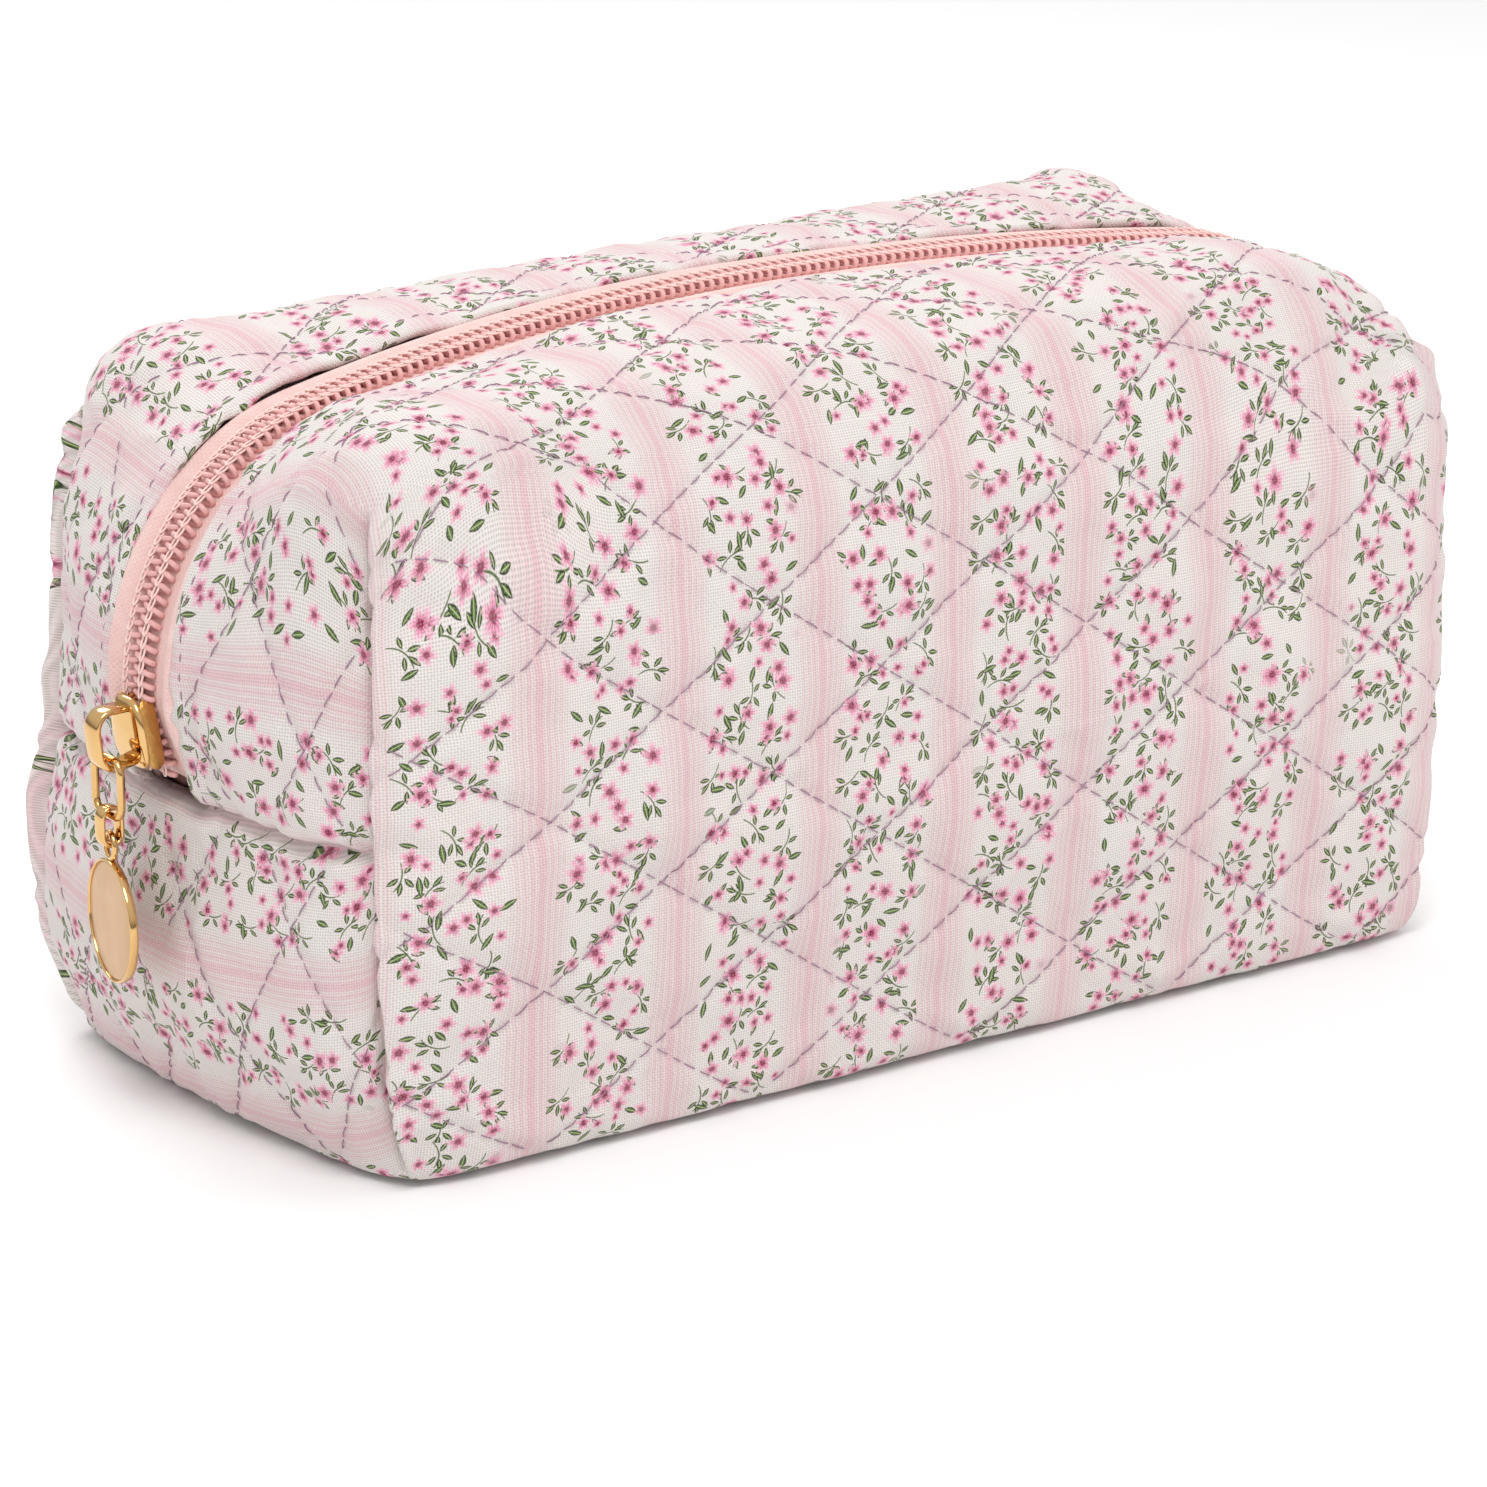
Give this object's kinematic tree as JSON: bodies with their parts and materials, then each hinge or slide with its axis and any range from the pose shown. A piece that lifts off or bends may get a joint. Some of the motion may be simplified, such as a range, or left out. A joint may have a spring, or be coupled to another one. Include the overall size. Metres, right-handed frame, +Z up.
{
  "type": "makeup bag",
  "caption": "Soft quilted cotton zip pouch with boxed corners and a zip over the whole top, with a gold slider, ring and round tag.",
  "frame": {"origin": "centre of the base, on the surface the bag stands on", "axes": "+Z up, +X along the bag away from the end where the closed zip's slider sits, -Y out of the front face"},
  "size_m": [0.2514, 0.114, 0.124],
  "materials": {
    "cotton": "matte printed quilted cotton",
    "wadding": "matte fibre wadding",
    "lining": "matte plain cotton",
    "binding": "matte woven tape",
    "zip_tape": "matte woven polyester tape",
    "zip_coil": "glossy nylon coil",
    "gold": "polished plated",
    "satin_gold": "brushed satin plated"
  },
  "bodies": {
    "root": {"outer_body": "cotton", "wadding_body": "wadding", "lining_body": "lining", "end_binding_left": "binding", "corner_binding_back_left": "binding", "corner_binding_front_lower_left": "binding", "end_binding_right": "binding", "corner_binding_back_right": "binding", "corner_binding_front_lower_right": "binding", "zip_tape_back": "zip_tape", "zip_tape_front_end_left": "zip_tape", "zip_tape_front_end_right": "zip_tape", "zip_coil_back": "zip_coil", "zip_coil_front_end_left": "zip_coil", "zip_coil_front_end_right": "zip_coil"},
    "front_lip": {"outer_lip": "cotton", "wadding_lip": "wadding", "lining_lip": "lining", "corner_binding_front_upper_left": "binding", "corner_binding_front_upper_right": "binding", "zip_coil_front": "zip_coil", "zip_tape_front": "zip_tape"},
    "zip_slider": {"slider_body": "gold", "slider_bail": "gold"},
    "pull_ring": {"pull_ring": "gold"},
    "band_loop": {"band_loop": "gold"},
    "tag_disc": {"tag_disc": "satin_gold"}
  },
  "joints": [
    {"name": "lip_fold", "type": "hinge", "parent": "root", "child": "front_lip", "pos_m": [0, -0.0573, 0.057], "axis": [1, 0, 0], "range_deg": [0, 40]},
    {"name": "slider_travel", "type": "hinge", "parent": "root", "child": "zip_slider", "pos_m": [-0.077, 0, 0.071], "axis": [0, 1, 0], "range_deg": [0, 75]},
    {"name": "ring_swing", "type": "hinge", "parent": "zip_slider", "child": "pull_ring", "pos_m": [-0.12641, 0, 0.06195], "axis": [0, 1, 0], "range_deg": [0, 130]},
    {"name": "band_swing", "type": "hinge", "parent": "pull_ring", "child": "band_loop", "pos_m": [-0.12641, 0, 0.0526], "axis": [0, 1, 0], "range_deg": [-10, 40]},
    {"name": "tag_swing", "type": "hinge", "parent": "band_loop", "child": "tag_disc", "pos_m": [-0.12641, 0, 0.04762], "axis": [0.9816, -0.1908, 0], "range_deg": [-40, 40]}
  ]
}
